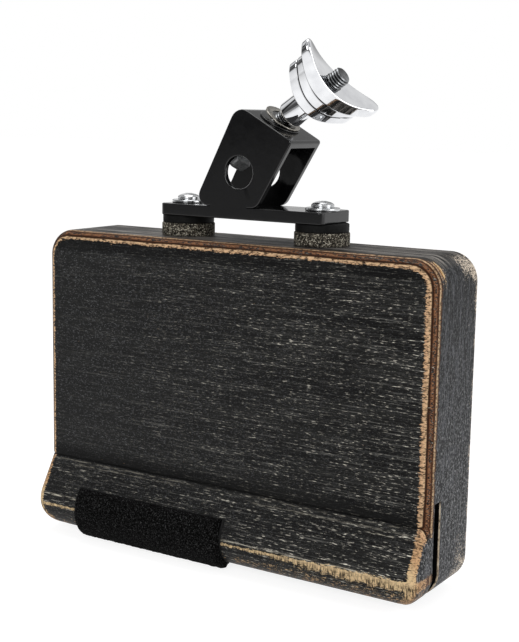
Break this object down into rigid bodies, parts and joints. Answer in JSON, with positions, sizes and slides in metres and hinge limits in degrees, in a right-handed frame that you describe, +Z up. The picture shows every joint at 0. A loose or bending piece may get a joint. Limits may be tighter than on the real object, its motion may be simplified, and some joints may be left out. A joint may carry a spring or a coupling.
{
  "type": "woodblock",
  "caption": "Laminated wooden percussion block with a struck front plate, flared lip and sound slot, hung from a rod clamp with a wing nut.",
  "frame": {"origin": "centre of the clamp's rod holes, midway between its two walls", "axes": "+Z up, +X to the right of someone who faces the struck front plate, +Y along the rod, from the front plate towards the back"},
  "size_m": [0.2, 0.0536, 0.2303],
  "materials": {
    "stained_plywood": "black stained and lacquered, worn to bare plies at the edges",
    "adhesive_tape": "matt",
    "black_fleece": "short looped pile",
    "brass": "turned",
    "cork": "pressed granulate",
    "black_rubber": "moulded, matt",
    "black_coated_metal": "smooth satin black coating",
    "zinc_plated_steel": "bright zinc plating",
    "nickel_plated_steel": "bright nickel plating",
    "chrome": "polished chrome plating"
  },
  "bodies": {
    "block": {"front_plate": "stained_plywood", "lip": "stained_plywood", "slot_spacer_top": "stained_plywood", "slot_spacers": "stained_plywood", "top_rail": "stained_plywood", "bottom_rail": "stained_plywood", "side_rails": "stained_plywood", "back_plate": "stained_plywood", "pad_tape": "adhesive_tape", "pad": "black_fleece", "inserts": "brass", "cork_washers": "cork", "rubber_washers": "black_rubber", "bracket": "black_coated_metal", "screw_washers": "zinc_plated_steel", "bracket_screws": "zinc_plated_steel", "web_washer": "black_coated_metal"},
    "loose_washer": {"plated_washer": "nickel_plated_steel"},
    "bolt": {"clamp_bolt": "nickel_plated_steel"},
    "nut_carrier": {"ferrule": "chrome"},
    "nut": {"wing_nut": "chrome"}
  },
  "joints": [
    {"name": "clamp_swing", "type": "hinge", "parent": "block", "child": "bolt", "pos_m": [0.01121, 0, 0.02031], "axis": [0, -1, 0], "range_deg": [0, 27.6]},
    {"name": "washer_tip", "type": "hinge", "parent": "block", "child": "loose_washer", "pos_m": [0.02092, 0, 0.01775], "axis": [0, -1, 0], "range_deg": [0, 8]},
    {"name": "nut_travel", "type": "slide", "parent": "bolt", "child": "nut_carrier", "axis": [0.8339, 0, 0.5519], "range_m": [0, 0.005]},
    {"name": "nut_turn", "type": "hinge", "parent": "nut_carrier", "child": "nut", "pos_m": [0.01121, 0, 0.02031], "axis": [0.8339, 0, 0.5519], "range_deg": [0, 1440]}
  ],
  "couplings": [
    {"joint": "washer_tip", "follows": "clamp_swing", "ratio": 0.28985},
    {"joint": "nut_turn", "follows": "nut_travel", "rad_per_m": 5026.5}
  ]
}
